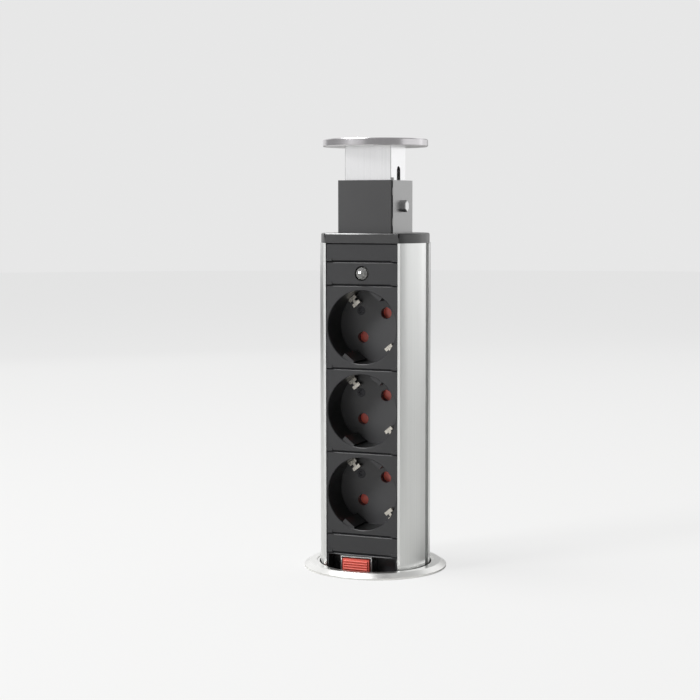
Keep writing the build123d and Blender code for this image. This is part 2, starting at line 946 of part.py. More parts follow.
with BuildPart() as gland_body:
    with BuildSketch(level(gland_body_bottom)):
        Circle(gland_thread)
    extrude(amount=foot_z + plug_spigot_height + locknut_height - gland_body_bottom)
    with BuildSketch(level(plug_bottom - gland_hex_height)):
        RegularPolygon(gland_hex / 2, 6, major_radius=False)
    extrude(amount=gland_hex_height)
    with BuildSketch(level(gland_body_bottom)):
        Circle(gland_seat)
    extrude(amount=neck_length, mode=Mode.SUBTRACT)
save(gland_body, "gland_body")

with BuildPart() as gland_locknut:
    with BuildSketch(level(foot_z + plug_spigot_height)):
        RegularPolygon(gland_hex / 2, 6, major_radius=False)
        Circle(gland_thread + slip_gap, mode=Mode.SUBTRACT)
    extrude(amount=locknut_height)
save(gland_locknut, "gland_locknut")

seal_bottom = gland_body_bottom - running_gap
with BuildPart() as gland_seal:
    with BuildSketch(level(seal_bottom)):
        Circle(gland_seat - slip_gap)
        Circle(cable_radius, mode=Mode.SUBTRACT)
    extrude(amount=seal_length)
save(gland_seal, "gland_seal")

dome_top = plug_bottom - gland_hex_height - running_gap
dome_bottom = dome_top - dome_length
dome_bevel = 2.4
with BuildPart() as gland_nut:
    with BuildSketch(level(dome_bottom)):
        RegularPolygon(gland_hex / 2 - slip_gap, 6, major_radius=False)
    extrude(amount=dome_length)
    with BuildSketch(level(dome_bottom)):
        Circle(gland_hex)
        Circle(gland_hex / 2, mode=Mode.SUBTRACT)
    extrude(amount=dome_bevel, taper=-45, mode=Mode.SUBTRACT)
    with BuildSketch(level(dome_bottom)):
        Circle(dome_bore)
    extrude(amount=dome_length, mode=Mode.SUBTRACT)
    with BuildSketch(level(seal_bottom)):
        Circle(gland_thread + slip_gap)
    extrude(amount=dome_length, mode=Mode.SUBTRACT)
save(gland_nut, "gland_nut")

# Latch: black housing with a window, metal frame, ribbed button and its spring
latch_wall = 0.8
pocket_back = -12.0
pocket_wall = 1.2
button_left = -11.6
button_right = 3.8
button_low = -0.4
button_high = 6.4
button_slack = 0.7
frame_wall = 0.7
frame_step = 1.6
frame_front = -panel_setback + frame_step
frame_back = -8.7
button_flange = 1.2
flange_reach = 1.6
latch_travel = 3.5
pressed_coil = 2.7
spring_seat = frame_back + running_gap + button_flange + latch_travel + pressed_coil
button_rib = 0.8
button_rib_count = 4
rib_share = 0.8
latch_bottom = latch_module_bottom + seam_gap / 2
latch_top = bottom_blank_z - seam_gap / 2
chamber_low = button_low - flange_reach - running_gap
chamber_high = button_high + flange_reach - running_gap
chamber_left = button_left - flange_reach - running_gap
chamber_right = button_right + flange_reach + running_gap

with BuildPart() as latch_housing:
    module_front(latch_module_bottom, latch_module_height, tabs=False)
    bar(
        (-panel_width / 2, panel_width / 2),
        (-hook_back, pocket_back + pocket_wall),
        (latch_bottom, latch_top),
    )
    bar(
        (chamber_left - pocket_wall, chamber_right + pocket_wall),
        (pocket_back, spring_seat + pocket_wall),
        (latch_bottom, latch_top),
    )
    bar(
        (-panel_width / 2 + latch_wall, panel_width / 2 - latch_wall),
        (-panel_setback - cut_over, pocket_back),
        (latch_bottom + pocket_wall, latch_top - latch_wall),
        mode=Mode.SUBTRACT,
    )
    bar(
        (chamber_left, chamber_right),
        (pocket_back + pocket_wall, spring_seat),
        (chamber_low, chamber_high),
        mode=Mode.SUBTRACT,
    )
    bar(
        (button_left - button_slack - frame_wall, button_right + button_slack + frame_wall),
        (pocket_back - cut_over, spring_seat),
        (button_low - button_slack - frame_wall, button_high + button_slack + frame_wall),
        mode=Mode.SUBTRACT,
    )
save(latch_housing, "latch_housing")

with BuildPart() as latch_frame:
    bar(
        (button_left - button_slack - frame_wall, button_right + button_slack + frame_wall),
        (frame_front, frame_back),
        (button_low - button_slack - frame_wall, button_high + button_slack + frame_wall),
    )
    bar(
        (button_left - button_slack, button_right + button_slack),
        (frame_front - cut_over, frame_back + cut_over),
        (button_low - button_slack, button_high + button_slack),
        mode=Mode.SUBTRACT,
    )
save(latch_frame, "latch_frame")

button_centre_x = (button_left + button_right) / 2
button_centre_z = (button_low + button_high) / 2
flange_front = frame_back + running_gap
rib_spacing = (button_high - button_low) / (button_rib_count + 1)
spigot_radius = 1.6
spigot_length = 1.4
with BuildPart() as latch_button:
    bar(
        (button_left, button_right),
        (-panel_setback + button_rib, flange_front),
        (button_low, button_high),
    )
    for index in range(button_rib_count):
        rib_z = button_low + (index + 1) * rib_spacing
        with Locations((button_centre_x, -panel_setback + button_rib, rib_z)):
            Cylinder(
                button_rib * rib_share,
                button_right - button_left - 2 * button_rib,
                rotation=(0, 90, 0),
            )
    bar(
        (button_left - flange_reach, button_right + flange_reach),
        (flange_front, flange_front + button_flange),
        (button_low - flange_reach, button_high + flange_reach - 2 * running_gap),
    )
    with BuildSketch(front(flange_front + button_flange + spigot_length)):
        with Locations((button_centre_x, button_centre_z)):
            Circle(spigot_radius)
    extrude(amount=spigot_length)
save(latch_button, "latch_button")

latch_wire = 0.6
latch_spring_turns = 4
latch_spring_start = flange_front + button_flange + latch_wire / 2
latch_spring_end = spring_seat - latch_wire / 2
latch_spring_part = coil(
    (button_centre_x, latch_spring_start, button_centre_z),
    spigot_radius + slip_gap + latch_wire / 2,
    (latch_spring_end - latch_spring_start) / latch_spring_turns,
    latch_spring_turns,
    latch_wire,
)
with BuildPart() as latch_spring:
    add(latch_spring_part)
save(latch_spring, "latch_spring")

# Sleeve on the cap: steel shell with a separate front plate
sleeve_half_width = 15.6
sleeve_half_depth = 16.3
sleeve_wall = 1.5
plate_gap = 0.7
plate_inset = 0.6
bridge_lap = 0.5
sleeve_tab_width = 12.0
sleeve_tab_depth = 3.0
nub_depth = 1.5
side_front = -sleeve_half_depth + sleeve_wall + plate_gap
bolt_rise = 14.4
bolt_z = sleeve_z + bolt_rise
bolt_radius = 1.5
bridge_height = 4.0

with BuildPart() as sleeve_shell:
    with BuildSketch(level(sleeve_z)):
        with Locations((0, (side_front + sleeve_half_depth) / 2)):
            Rectangle(2 * sleeve_half_width, sleeve_half_depth - side_front)
        with Locations((0, (side_front + sleeve_half_depth) / 2 - sleeve_wall)):
            Rectangle(
                2 * (sleeve_half_width - sleeve_wall),
                sleeve_half_depth - side_front,
                mode=Mode.SUBTRACT,
            )
    extrude(amount=sleeve_height)
    back_corners = sleeve_shell.edges().filter_by(Axis.Z).group_by(Axis.Y)[-1]
    fillet(back_corners, sleeve_wall / 2)
    for side in (-1, 1):
        inner, outer = side * (sleeve_half_width - sleeve_wall), side * sleeve_half_width
        low_x, high_x = min(inner, outer), max(inner, outer)
        for bridge_z in (sleeve_z + bridge_height, sleeve_top - 2 * bridge_height):
            plate_edge = side * (sleeve_half_width - plate_inset)
            bar(
                (plate_edge - bridge_lap, plate_edge + bridge_lap),
                (side_front - plate_gap, side_front),
                (bridge_z, bridge_z + bridge_height),
            )
        if side > 0:
            bar(
                (low_x, high_x),
                (side_front, side_front + nub_depth),
                (sleeve_top, sleeve_top + corner_nub_height),
            )
    bar(
        (-sleeve_tab_width / 2, sleeve_tab_width / 2),
        (sleeve_half_depth - sleeve_wall, sleeve_half_depth),
        (sleeve_z - sleeve_tab_depth, sleeve_z),
    )
    with BuildSketch(Plane.YZ.offset(-sleeve_half_width)):
        with Locations((0, bolt_z)):
            Circle(bolt_radius + slip_gap)
    extrude(amount=2 * sleeve_half_width, mode=Mode.SUBTRACT)
save(sleeve_shell, "sleeve_shell")

with BuildPart() as sleeve_front_plate:
    bar(
        (-sleeve_half_width + plate_inset, sleeve_half_width - plate_inset),
        (-sleeve_half_depth, -sleeve_half_depth + sleeve_wall),
        (sleeve_z, sleeve_top),
    )
    bar(
        (-sleeve_tab_width / 2, sleeve_tab_width / 2),
        (-sleeve_half_depth, -sleeve_half_depth + sleeve_wall),
        (sleeve_z - sleeve_tab_depth, sleeve_z),
    )
save(sleeve_front_plate, "sleeve_front_plate")

# Lid bracket: bright steel box, closed at the top, with a round-ended slot in each side
bracket_half_width = 13.4
bracket_half_depth = 10.9
bracket_wall = 1.2
slot_radius = 2.6
slot_web = 3.0
slot_low = bolt_z - bolt_radius - running_gap + slot_radius
slot_rise = 21.4
slot_high = bolt_z + slot_rise - slot_radius
bracket_bottom = slot_low - slot_radius - slot_web
lid_screw_x = 8.0
lid_screw_y = 5.0
lid_screw_places = [(x, y) for x in (-lid_screw_x, lid_screw_x) for y in (-lid_screw_y, lid_screw_y)]
lid_screw_shank = 1.25
lid_screw_head = 2.6
lid_screw_head_height = 1.6
lid_screw_bite = 2.6

with BuildPart() as lid_bracket:
    bar(
        (-bracket_half_width, bracket_half_width),
        (-bracket_half_depth, bracket_half_depth),
        (bracket_bottom, lid_z),
    )
    bar(
        (-bracket_half_width + bracket_wall, bracket_half_width - bracket_wall),
        (-bracket_half_depth + bracket_wall, bracket_half_depth - bracket_wall),
        (bracket_bottom - cut_over, lid_z - bracket_wall),
        mode=Mode.SUBTRACT,
    )
    upright_edges = lid_bracket.edges().filter_by(Axis.Z).group_by(Axis.Y)
    fillet(upright_edges[0] + upright_edges[-1], bracket_wall / 2)
    with BuildSketch(Plane.YZ.offset(-bracket_half_width)):
        with Locations((0, (slot_low + slot_high) / 2)):
            SlotCenterToCenter(slot_high - slot_low, 2 * slot_radius, rotation=90)
    extrude(amount=2 * bracket_half_width, mode=Mode.SUBTRACT)
    with BuildSketch(level(lid_z - bracket_wall)):
        with Locations(*lid_screw_places):
            Circle(lid_screw_shank + slip_gap)
    extrude(amount=bracket_wall, mode=Mode.SUBTRACT)
save(lid_bracket, "lid_bracket")

# Lid: a turned disc, flush with the collar when everything is down
lid_bevel = 0.5
with BuildPart() as lid_disc:
    with BuildSketch(level(lid_z)):
        Circle(lid_radius)
    extrude(amount=lid_thickness)
    chamfer(lid_disc.edges().filter_by(GeomType.CIRCLE), lid_bevel)
    with BuildSketch(level(lid_z)):
        with Locations(*lid_screw_places):
            Circle(lid_screw_shank)
    extrude(amount=lid_screw_bite, mode=Mode.SUBTRACT)
save(lid_disc, "lid_disc")

lid_screw = pan_screw(
    lid_screw_head,
    lid_screw_head_height,
    lid_screw_shank - slip_gap / 2,
    lid_screw_head_height + bracket_wall + lid_screw_bite - slip_gap,
)
with BuildPart() as lid_screws:
    screw_seat_z = lid_z - bracket_wall - lid_screw_head_height
    with Locations(*(facing(x, y, screw_seat_z, (0, 0, -1)) for x, y in lid_screw_places)):
        add(lid_screw)
save(lid_screws, "lid_screws")

# Guide bolt across the sleeve, with its nut and washer on the far side
bolt_hex = 5.5
bolt_head_height = 2.8
bolt_washer_radius = 3.5
bolt_washer_thickness = 0.6
bolt_nut_height = 2.4
bolt_spare = 1.0
bolt_end = -sleeve_half_width - bolt_washer_thickness - bolt_nut_height - bolt_spare
hex_bevel_share = 0.12

with BuildPart() as guide_bolt:
    with BuildSketch(Plane.YZ.offset(bolt_end)):
        with Locations((0, bolt_z)):
            Circle(bolt_radius)
    extrude(amount=sleeve_half_width - bolt_end)
    with BuildSketch(Plane.YZ.offset(sleeve_half_width)):
        with Locations((0, bolt_z)):
            RegularPolygon(bolt_hex / 2, 6, major_radius=False, rotation=30)
    extrude(amount=bolt_head_height)
    head_edges = guide_bolt.edges().group_by(Axis.X)[-1]
    chamfer(head_edges, bolt_head_height * hex_bevel_share)
save(guide_bolt, "guide_bolt")

with BuildPart() as guide_washer:
    with BuildSketch(Plane.YZ.offset(-sleeve_half_width - bolt_washer_thickness)):
        with Locations((0, bolt_z)):
            Circle(bolt_washer_radius)
            Circle(bolt_radius + slip_gap, mode=Mode.SUBTRACT)
    extrude(amount=bolt_washer_thickness)
save(guide_washer, "guide_washer")

with BuildPart() as guide_nut:
    nut_face = -sleeve_half_width - bolt_washer_thickness - bolt_nut_height
    with BuildSketch(Plane.YZ.offset(nut_face)):
        with Locations((0, bolt_z)):
            RegularPolygon(bolt_hex / 2, 6, major_radius=False, rotation=30)
            Circle(bolt_radius + slip_gap / 2, mode=Mode.SUBTRACT)
    extrude(amount=bolt_nut_height)
save(guide_nut, "guide_nut")

# Top cap: flat-fronted plate with the bracket's well under it
well_half_width = bracket_half_width + running_gap + slip_gap
well_half_depth = bracket_half_depth + 2 * running_gap
well_wall = 1.2
well_floor = bracket_bottom - lid_travel - 2 * running_gap
cap_step = 0.6
cap_radius = tower_radius - cap_step
cap_bevel = 0.5
corner_slit = 0.6
corner_slit_depth = 2.4
cap_screw_head = 2.7
cap_screw_height = 1.5
cap_screw_shank = port_bore - slip_gap
cap_screw_length = 14.0

with BuildPart() as top_cap:
    with BuildSketch(level(cap_z)):
        Circle(cap_radius)
        flat_front(lip_setback)
    extrude(amount=cap_thickness)
    chamfer(top_cap.edges().group_by(Axis.Z)[-1], cap_bevel)
    bar(
        (-well_half_width - well_wall, well_half_width + well_wall),
        (-well_half_depth - well_wall, well_half_depth + well_wall),
        (well_floor - well_wall, cap_z),
    )
    bar(
        (-well_half_width, well_half_width),
        (-well_half_depth, well_half_depth),
        (well_floor, sleeve_z + cut_over),
        mode=Mode.SUBTRACT,
    )
    for side in (-1, 1):
        bar(
            (
                -sleeve_tab_width / 2 - slip_gap,
                sleeve_tab_width / 2 + slip_gap,
            ),
            (
                side * (sleeve_half_depth - sleeve_wall / 2) - sleeve_wall / 2 - slip_gap,
                side * (sleeve_half_depth - sleeve_wall / 2) + sleeve_wall / 2 + slip_gap,
            ),
            (sleeve_z - sleeve_tab_depth - slip_gap, sleeve_z + cut_over),
            mode=Mode.SUBTRACT,
        )
        slit_x = side * sqrt(cap_radius**2 - lip_setback**2)
        bar(
            (slit_x - corner_slit / 2, slit_x + corner_slit / 2),
            (-lip_setback - cut_over, -lip_setback + 2 * corner_slit),
            (sleeve_z - corner_slit_depth, sleeve_z + cut_over),
            mode=Mode.SUBTRACT,
        )
    with Locations(*(facing(x, y, sleeve_z, (0, 0, 1)) for x, y in port_places)):
        CounterSinkHole(
            cap_screw_shank + slip_gap, cap_screw_head + slip_gap, 2 * cut_over, sink_angle
        )
save(top_cap, "top_cap")

cap_screw = countersunk_screw(cap_screw_head, cap_screw_height, cap_screw_shank, cap_screw_length)
with BuildPart() as cap_screws:
    with Locations(*(facing(x, y, sleeve_z, (0, 0, 1)) for x, y in port_places)):
        add(cap_screw)
save(cap_screws, "cap_screws")

print("lid travel", round(lid_travel, 2), "tower travel", round(tower_travel, 2))
print("socket centres", [round(z, 2) for z in socket_centres])
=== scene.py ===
import math

import bmesh
import bpy
from mathutils import Matrix, Vector


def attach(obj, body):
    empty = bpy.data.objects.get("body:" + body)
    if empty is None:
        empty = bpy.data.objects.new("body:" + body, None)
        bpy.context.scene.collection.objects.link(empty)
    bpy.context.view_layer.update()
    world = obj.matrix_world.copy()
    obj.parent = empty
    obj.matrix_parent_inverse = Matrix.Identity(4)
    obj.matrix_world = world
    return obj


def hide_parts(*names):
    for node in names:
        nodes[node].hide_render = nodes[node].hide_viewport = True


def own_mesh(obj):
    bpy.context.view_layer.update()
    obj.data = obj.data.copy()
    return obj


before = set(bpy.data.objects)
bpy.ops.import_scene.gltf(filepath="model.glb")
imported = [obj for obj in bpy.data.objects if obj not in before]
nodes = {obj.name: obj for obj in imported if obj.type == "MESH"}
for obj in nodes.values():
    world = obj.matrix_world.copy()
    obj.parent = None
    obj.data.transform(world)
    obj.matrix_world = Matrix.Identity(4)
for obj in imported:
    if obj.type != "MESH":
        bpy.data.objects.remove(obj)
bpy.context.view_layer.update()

scene = bpy.context.scene
scene.view_settings.view_transform = "Standard"

# Camera: to the right of the front, a little above the sockets, looking slightly down
azimuth, distance, height = math.radians(21.469), 0.88, 0.198
pitch, yaw, roll = math.radians(5.1415), math.radians(0.9013), math.radians(-0.083)

camera_data = bpy.data.cameras.new("camera")
camera_data.sensor_width = 36
camera_data.lens = 83.257
camera_data.clip_start = 0.02
camera = bpy.data.objects.new("camera", camera_data)
camera.matrix_world = (
    Matrix.Translation((math.sin(azimuth) * distance, -math.cos(azimuth) * distance, height))
    @ Matrix.Rotation(azimuth + yaw, 4, "Z")
    @ Matrix.Rotation(math.pi / 2 - pitch, 4, "X")
    @ Matrix.Rotation(roll, 4, "Z")
)
scene.collection.objects.link(camera)
scene.camera = camera

white = (1.0, 1.0, 1.0, 1.0)


def colour(code):
    """An sRGB hex colour as linear RGBA."""
    channels = [int(code[i : i + 2], 16) / 255 for i in (1, 3, 5)]
    linear = [c / 12.92 if c <= 0.04045 else ((c + 0.055) / 1.055) ** 2.4 for c in channels]
    return (*linear, 1.0)


def add_node(tree, kind, settings=None, values=None, links=None):
    """Adds one node: settings are its properties, values and links go to its inputs."""
    node = tree.nodes.new(kind)
    for name, value in (settings or {}).items():
        setattr(node, name, value)
    for name, value in (values or {}).items():
        node.inputs[name].default_value = value
    for name, output in (links or {}).items():
        tree.links.new(output, node.inputs[name])
    return node


def start_material(name):
    """An empty material, its tree and the piece's own Object coordinates."""
    material = bpy.data.materials.new(name)
    material.use_nodes = True
    tree = material.node_tree
    tree.nodes.clear()
    place = add_node(tree, "ShaderNodeTexCoord")
    return material, tree, place.outputs["Object"]


def finish_material(material, shader):
    tree = material.node_tree
    add_node(tree, "ShaderNodeOutputMaterial", links={"Surface": shader.outputs["BSDF"]})
    return material


def moulded_plastic(
    name, base, spots, roughness=0.46, grain_size=0.00035, grain_depth=0.000012, ior=1.5
):
    """Injection moulded plastic: an even colour, a fine spark-eroded grain and uneven gloss."""
    flow_patches_per_metre, gloss_spread = 45.0, 0.07
    material, tree, place = start_material(name)
    grain = add_node(
        tree,
        "ShaderNodeTexNoise",
        values={"Scale": 1 / grain_size, "Detail": 3.0, "Roughness": 0.6},
        links={"Vector": place},
    )
    patches = add_node(
        tree,
        "ShaderNodeTexNoise",
        values={"Scale": flow_patches_per_metre, "Detail": 2.0},
        links={"Vector": place},
    )
    tint = add_node(
        tree,
        "ShaderNodeMix",
        {"data_type": "RGBA"},
        values={"A": colour(base), "B": colour(spots)},
        links={"Factor": patches.outputs["Fac"]},
    )
    gloss = add_node(
        tree,
        "ShaderNodeMapRange",
        values={"To Min": roughness - gloss_spread, "To Max": roughness + gloss_spread},
        links={"Value": patches.outputs["Fac"]},
    )
    bump = add_node(
        tree,
        "ShaderNodeBump",
        values={"Strength": 0.5, "Distance": grain_depth},
        links={"Height": grain.outputs["Fac"]},
    )
    shader = add_node(
        tree,
        "ShaderNodeBsdfPrincipled",
        values={"IOR": ior},
        links={
            "Base Color": tint.outputs["Result"],
            "Roughness": gloss.outputs["Result"],
            "Normal": bump.outputs["Normal"],
        },
    )
    return finish_material(material, shader)


def socket_plastic_painted_shade(name, face, wall, floor, roughness=0.36):
    """Black ABS of a socket with painted shade and light: a satin face, the cup wall painted near
    black as shade, the cup floor painted paler as light.
    """
    cup_floor_y, face_y = -0.0008, -0.0198
    # The painted shade of the wall and the painted light of the floor start and end at these
    # shares of the way from the face to the floor of the cup
    face_end_share, wall_start_share, wall_end_share, floor_start_share = 0.04, 0.07, 0.95, 0.98
    grain_per_metre, grain_depth = 2800.0, 0.000012
    material, tree, place = start_material(name)
    axes = add_node(tree, "ShaderNodeSeparateXYZ", links={"Vector": place})
    depth = add_node(
        tree,
        "ShaderNodeMapRange",
        values={"From Min": face_y, "From Max": cup_floor_y},
        links={"Value": axes.outputs["Y"]},
    )
    # Painted shade and light by depth: the face's tone, then a near black wall as shade, then a
    # paler floor as light
    painted_cup_tones = add_node(tree, "ShaderNodeValToRGB", links={"Fac": depth.outputs["Result"]})
    stops = painted_cup_tones.color_ramp.elements
    stops[0].position, stops[0].color = face_end_share, colour(face)
    stops[1].position, stops[1].color = floor_start_share, colour(floor)
    for share in (wall_start_share, wall_end_share):
        stops.new(share).color = colour(wall)
    grain = add_node(
        tree,
        "ShaderNodeTexNoise",
        values={"Scale": grain_per_metre, "Detail": 3.0, "Roughness": 0.6},
        links={"Vector": place},
    )
    gloss = add_node(
        tree,
        "ShaderNodeMapRange",
        values={"To Min": roughness - 0.05, "To Max": roughness + 0.09},
        links={"Value": grain.outputs["Fac"]},
    )
    bump = add_node(
        tree,
        "ShaderNodeBump",
        values={"Strength": 0.5, "Distance": grain_depth},
        links={"Height": grain.outputs["Fac"]},
    )
    shader = add_node(
        tree,
        "ShaderNodeBsdfPrincipled",
        values={"IOR": 1.5},
        links={
            "Base Color": painted_cup_tones.outputs["Color"],
            "Roughness": gloss.outputs["Result"],
            "Normal": bump.outputs["Normal"],
        },
    )
    return finish_material(material, shader)


def worked_metal(name, base, shade, roughness, lines_per_metre, line_depth=0.000006):
    """Bare metal with fine lines in its colour, gloss and bump.

    lines_per_metre says how close the lines lie along each axis: 900 is one in 1.1 mm, drawn
    coarser than real so that it shows, and the axis with the smallest number is their own.
    """
    gloss_spread = 0.05
    material, tree, place = start_material(name)
    drawn = add_node(
        tree,
        "ShaderNodeMapping",
        values={"Scale": lines_per_metre},
        links={"Vector": place},
    )
    lines = add_node(
        tree,
        "ShaderNodeTexNoise",
        values={"Scale": 1.0, "Detail": 4.0, "Roughness": 0.55},
        links={"Vector": drawn.outputs["Vector"]},
    )
    tint = add_node(
        tree,
        "ShaderNodeMix",
        {"data_type": "RGBA"},
        values={"A": colour(base), "B": colour(shade)},
        links={"Factor": lines.outputs["Fac"]},
    )
    gloss = add_node(
        tree,
        "ShaderNodeMapRange",
        values={"To Min": roughness - gloss_spread, "To Max": roughness + gloss_spread},
        links={"Value": lines.outputs["Fac"]},
    )
    bump = add_node(
        tree,
        "ShaderNodeBump",
        values={"Strength": 0.4, "Distance": line_depth},
        links={"Height": lines.outputs["Fac"]},
    )
    shader = add_node(
        tree,
        "ShaderNodeBsdfPrincipled",
        values={"Metallic": 1.0},
        links={
            "Base Color": tint.outputs["Result"],
            "Roughness": gloss.outputs["Result"],
            "Normal": bump.outputs["Normal"],
        },
    )
    return finish_material(material, shader)


def turned_metal(name, base, shade, roughness, ring_spacing=0.0007, ring_depth=0.000005):
    """Metal turned on a lathe: fine rings round the tower's axis, drawn coarser than real."""
    # A wave texture of scale 1 repeats every 0.314 m
    wave_spacing = 0.314
    material, tree, place = start_material(name)
    rings = add_node(
        tree,
        "ShaderNodeTexWave",
        {"wave_type": "RINGS", "rings_direction": "Z"},
        values={
            "Scale": wave_spacing / ring_spacing,
            "Distortion": 0.6,
            "Detail": 2.0,
            "Detail Scale": 1.5,
        },
        links={"Vector": place},
    )
    tint = add_node(
        tree,
        "ShaderNodeMix",
        {"data_type": "RGBA"},
        values={"A": colour(base), "B": colour(shade)},
        links={"Factor": rings.outputs["Fac"]},
    )
    bump = add_node(
        tree,
        "ShaderNodeBump",
        values={"Strength": 0.35, "Distance": ring_depth},
        links={"Height": rings.outputs["Fac"]},
    )
    shader = add_node(
        tree,
        "ShaderNodeBsdfPrincipled",
        values={"Metallic": 1.0, "Roughness": roughness},
        links={"Base Color": tint.outputs["Result"], "Normal": bump.outputs["Normal"]},
    )
    return finish_material(material, shader)


def powder_coat(name, base, spots, coat, coat_ior=1.5, roughness=0.42):
    """Powder coated steel: a fine orange peel over an even black, under a glossier skin."""
    peel_size, peel_depth, coat_polish = 0.0009, 0.00002, 0.12
    material, tree, place = start_material(name)
    peel = add_node(
        tree,
        "ShaderNodeTexVoronoi",
        {"feature": "SMOOTH_F1"},
        values={"Scale": 1 / peel_size, "Smoothness": 1.0},
        links={"Vector": place},
    )
    patches = add_node(
        tree, "ShaderNodeTexNoise", values={"Scale": 60.0}, links={"Vector": place}
    )
    tint = add_node(
        tree,
        "ShaderNodeMix",
        {"data_type": "RGBA"},
        values={"A": colour(base), "B": colour(spots)},
        links={"Factor": patches.outputs["Fac"]},
    )
    bump = add_node(
        tree,
        "ShaderNodeBump",
        values={"Strength": 0.3, "Distance": peel_depth},
        links={"Height": peel.outputs["Distance"]},
    )
    shader = add_node(
        tree,
        "ShaderNodeBsdfPrincipled",
        values={
            "Roughness": roughness,
            "IOR": 1.5,
            "Coat Weight": coat,
            "Coat IOR": coat_ior,
            "Coat Roughness": roughness - coat_polish,
        },
        links={"Base Color": tint.outputs["Result"], "Normal": bump.outputs["Normal"]},
    )
    return finish_material(material, shader)


def clear_moulding(name, tint_code):
    """Clear moulded plastic: a light, slightly frosted, faceted body that lets light through."""
    haze_per_metre, facets_per_metre, facet_depth = 900.0, 600.0, 0.0006
    material, tree, place = start_material(name)
    haze = add_node(
        tree,
        "ShaderNodeTexNoise",
        values={"Scale": haze_per_metre, "Detail": 2.0},
        links={"Vector": place},
    )
    facets = add_node(
        tree, "ShaderNodeTexVoronoi", values={"Scale": facets_per_metre}, links={"Vector": place}
    )
    bump = add_node(
        tree,
        "ShaderNodeBump",
        values={"Strength": 0.6, "Distance": facet_depth},
        links={"Height": facets.outputs["Distance"]},
    )
    gloss = add_node(
        tree,
        "ShaderNodeMapRange",
        values={"To Min": 0.05, "To Max": 0.14},
        links={"Value": haze.outputs["Fac"]},
    )
    shader = add_node(
        tree,
        "ShaderNodeBsdfPrincipled",
        values={"Base Color": colour(tint_code), "IOR": 1.58, "Transmission Weight": 0.75},
        links={"Roughness": gloss.outputs["Result"], "Normal": bump.outputs["Normal"]},
    )
    return finish_material(material, shader)


# Satin anodised aluminium: a soft grey sheen with faint die lines up the extrusion
satin_anodised_aluminium = worked_metal(
    "satin_anodised_aluminium", "#dedfde", "#d2d3d2", 0.3, (900.0, 900.0, 6.0)
)
# Turned aluminium: near white silver with fine rings that catch the light on the bevel
turned_aluminium = turned_metal("turned_aluminium", "#efefed", "#e3e3e1", 0.32)
# Turned stainless steel: a touch darker and warmer, for the lid
turned_stainless_steel = turned_metal("turned_stainless_steel", "#cfcdcf", "#bbb9bb", 0.24)
# Zinc plated sheet steel: bright, with long rolling lines
zinc_plated_sheet = worked_metal(
    "zinc_plated_sheet", "#ececed", "#dfdfe0", 0.22, (1400.0, 1400.0, 9.0)
)
# Nickel plated spring strip: warm light grey
nickel_spring_strip = worked_metal(
    "nickel_spring_strip", "#cdc9c1", "#b5b1a9", 0.28, (1200.0, 60.0, 1200.0)
)
# Zinc plated screws and latch frame: plain light grey with a fine tumbled grain
tumbled_grain = (1500.0, 1500.0, 1500.0)
zinc_plated_screws = worked_metal(
    "zinc_plated_screws", "#bdbdbb", "#a7a8a8", 0.34, tumbled_grain
)
# Blackened steel screws in the socket floors: dark, with a dull sheen
blackened_steel = worked_metal("blackened_steel", "#3a3a3c", "#2c2c2e", 0.3, tumbled_grain)
# Chrome plated bolt: clear reflections, hardly any grain
chrome_plated_steel = worked_metal(
    "chrome_plated_steel",
    "#d6d6d6",
    "#c4c4c4",
    0.14,
    (700.0, 700.0, 700.0),
    line_depth=0.000002,
)
# Spring wire: drawn steel, bright
drawn_spring_wire = worked_metal(
    "drawn_spring_wire", "#a8a8aa", "#8e8e92", 0.25, (800.0, 800.0, 800.0)
)
# Brass strip: warm yellow, slightly dulled
brass_strip = worked_metal("brass_strip", "#c9a45a", "#b28e48", 0.3, (900.0, 900.0, 20.0))
# Satin black ABS: neutral dark grey with a very fine moulded grain
satin_black_abs = moulded_plastic("satin_black_abs", "#272729", "#242426", 0.35)
# Polished black ABS of the cap: brightens where it is seen at a low angle
polished_black_abs = moulded_plastic("polished_black_abs", "#161618", "#141416", 0.3, ior=1.7)
# The same ABS on the sockets, with painted shade and light in the cups: a wall painted near black
# as shade and a floor painted paler as light
socket_abs_painted_shade = socket_plastic_painted_shade("socket_abs_painted_shade", "#252527", "#0c0c0d", "#3e3e40")
# Black polyamide: more matt and coarser, for pieces under the desk and inside
black_polyamide = moulded_plastic(
    "black_polyamide", "#2b2b2d", "#262628", 0.55, grain_size=0.0006, grain_depth=0.00002
)
# Natural polyamide: milky off-white
natural_polyamide = moulded_plastic("natural_polyamide", "#dcd8cc", "#d2cdbf", 0.5)
# Red orange polycarbonate of the latch button: saturated, satin
red_orange_polycarbonate = moulded_plastic(
    "red_orange_polycarbonate", "#ed6c5d", "#e26354", 0.38
)
# Red polyamide of the shutters: clear red and glossier, its colour painted paler as light to make
# up for the shade of the pin holes
red_polyamide_painted_light = moulded_plastic("red_polyamide_painted_light", "#ff7668", "#f0685a", 0.26)
# Nitrile rubber: near black and matt
nitrile_rubber = moulded_plastic(
    "nitrile_rubber", "#1d1d1e", "#222223", 0.75, grain_size=0.0008, grain_depth=0.00003
)
# Circuit board laminate: dull green
green_laminate = moulded_plastic("green_laminate", "#2c5a3c", "#264f35", 0.4)
# Black powder coated sheet of the sleeve: glossy, brightest at a low angle
black_powder_coat = powder_coat(
    "black_powder_coat", "#303032", "#2d2d2f", coat=1.0, coat_ior=2.4
)
# The same coat on the front plate and its cut edges, duller, and painted darker as shade where the
# plate's edges sit back in the gap
powder_coat_painted_shade = powder_coat("powder_coat_painted_shade", "#202022", "#1d1d1f", coat=0.4, roughness=0.6)
# Clear polycarbonate of the lens and lamp: pale grey glassy glints
clear_polycarbonate = clear_moulding("clear_polycarbonate", "#c4c4c2")

